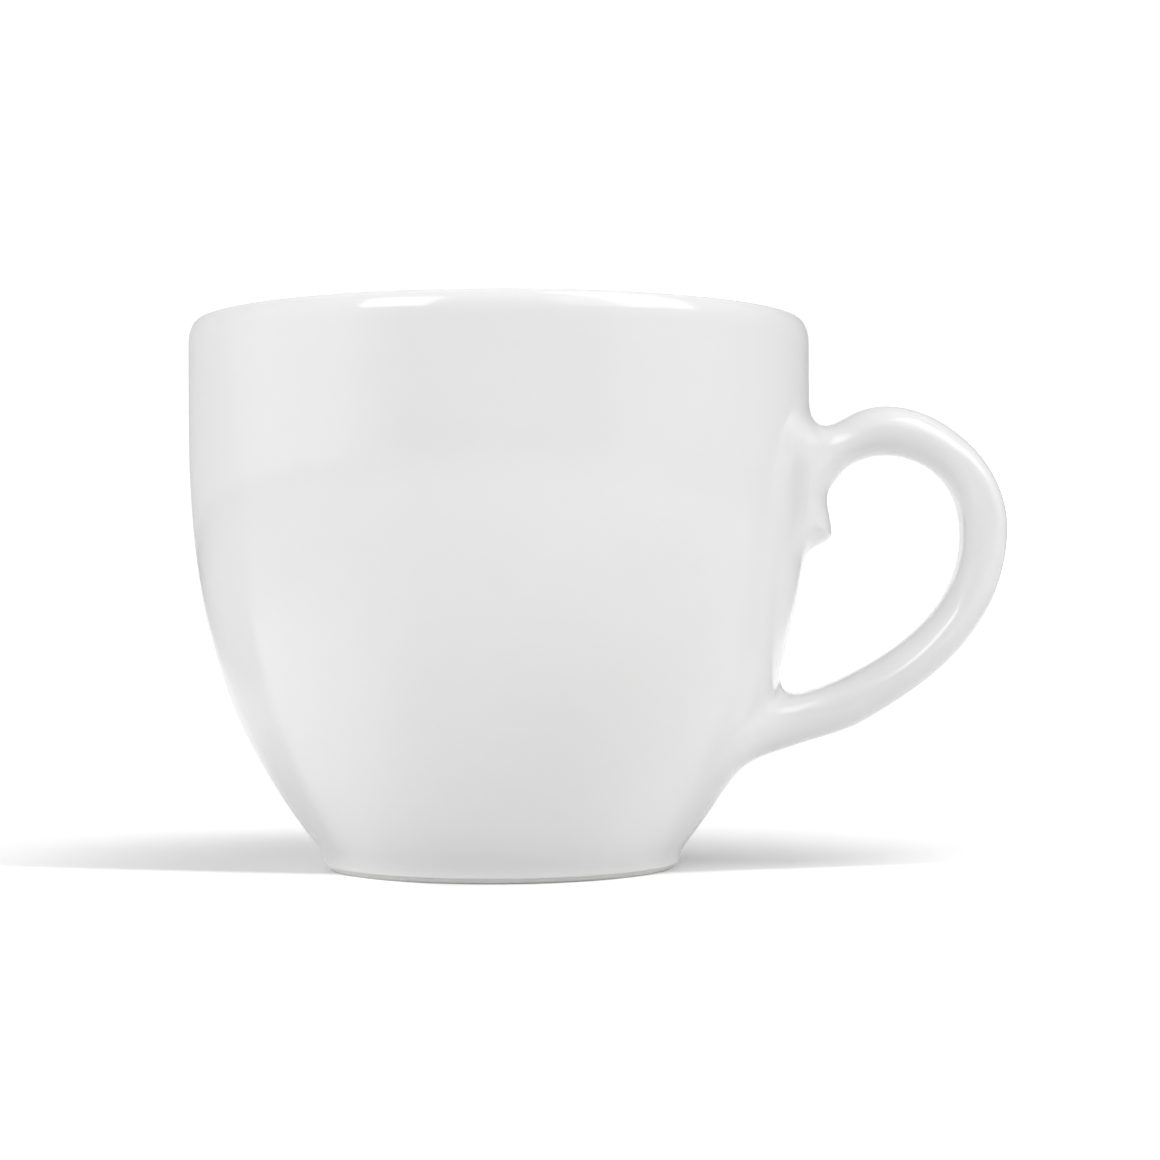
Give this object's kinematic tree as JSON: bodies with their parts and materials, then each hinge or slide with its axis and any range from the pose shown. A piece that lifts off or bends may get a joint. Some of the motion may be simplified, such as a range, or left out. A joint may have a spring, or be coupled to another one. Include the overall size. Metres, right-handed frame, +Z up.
{
  "type": "espresso cup",
  "caption": "Small rounded porcelain cup on a bare foot ring, with a cast loop handle that has a spur, for serving espresso.",
  "frame": {"origin": "centre of the ring that the cup stands on, in the plane of the table", "axes": "+Z up along the bowl's axis, +X towards the handle"},
  "size_m": [0.0816, 0.062, 0.0543],
  "materials": {
    "glaze": "gloss white glaze",
    "bisque": "matte unglazed porcelain",
    "slip": "matte fired slip"
  },
  "bodies": {
    "root": {"cup_body": "bisque", "handle": "bisque", "upper_joint": "slip", "lower_joint": "slip", "bowl_glaze": "glaze", "handle_glaze": "glaze", "well_glaze": "glaze"}
  },
  "joints": []
}
